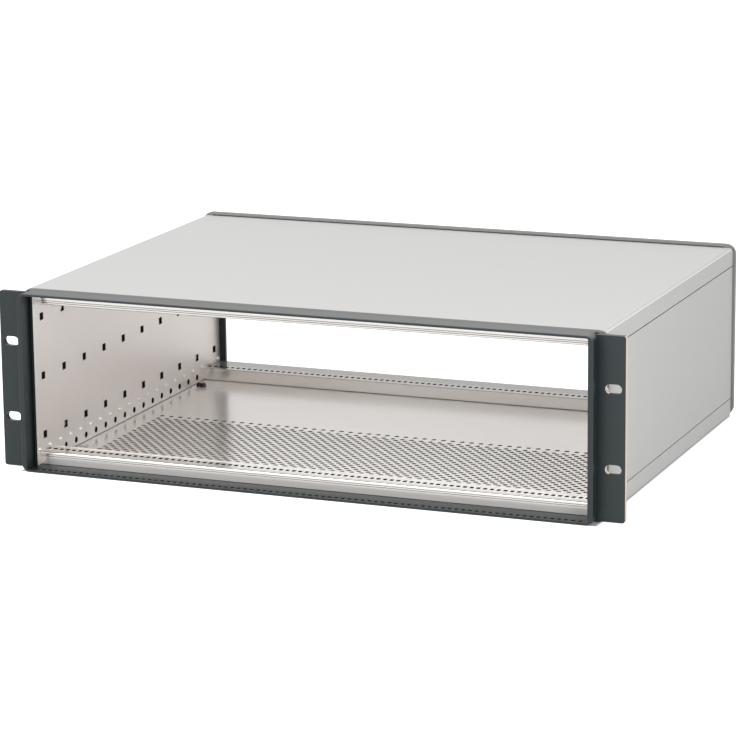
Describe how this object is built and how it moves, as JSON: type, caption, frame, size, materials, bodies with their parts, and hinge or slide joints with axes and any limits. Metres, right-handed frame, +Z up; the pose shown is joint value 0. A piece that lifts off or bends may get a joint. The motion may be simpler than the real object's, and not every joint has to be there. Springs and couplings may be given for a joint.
{
  "type": "subrack card cage",
  "caption": "Low wide card cage for plug-in circuit cards: a light covered case with dark front and rear frames, slotted rack ears, slotted guide rails and a perforated floor.",
  "frame": {"origin": "middle of the case's footprint, on the plane its lowest edges rest on", "axes": "+X to the right seen from the front, across the rack; +Y from the front to the rear; +Z up. The front faces -Y"},
  "size_m": [0.4826, 0.342, 0.1365],
  "materials": {
    "anthracite": "fine matt texture paint, anthracite",
    "cover_paint": "satin light grey paint",
    "plate_metal": "satin chromated sheet",
    "rail_metal": "satin extrusion",
    "zinc_steel": "zinc plated",
    "black_nylon": "matt moulded"
  },
  "bodies": {
    "root": {"front_frame": "anthracite", "rear_frame": "anthracite", "rack_ear_left": "anthracite", "rack_ear_right": "anthracite", "top_cover": "cover_paint", "bottom_cover": "cover_paint", "side_panel_left": "cover_paint", "side_panel_right": "cover_paint", "inner_plate_left": "plate_metal", "inner_plate_right": "plate_metal", "rail_front_bottom": "rail_metal", "rail_front_top": "rail_metal", "rail_rear_bottom": "rail_metal", "rail_rear_top": "rail_metal", "rail_screws_left": "zinc_steel", "rail_screws_right": "zinc_steel", "ear_screws_left": "zinc_steel", "ear_screws_right": "zinc_steel", "frame_screws_front": "zinc_steel", "frame_screws_rear": "zinc_steel", "panel_studs_left": "zinc_steel", "panel_studs_right": "zinc_steel", "floor_clips": "black_nylon"}
  },
  "joints": []
}
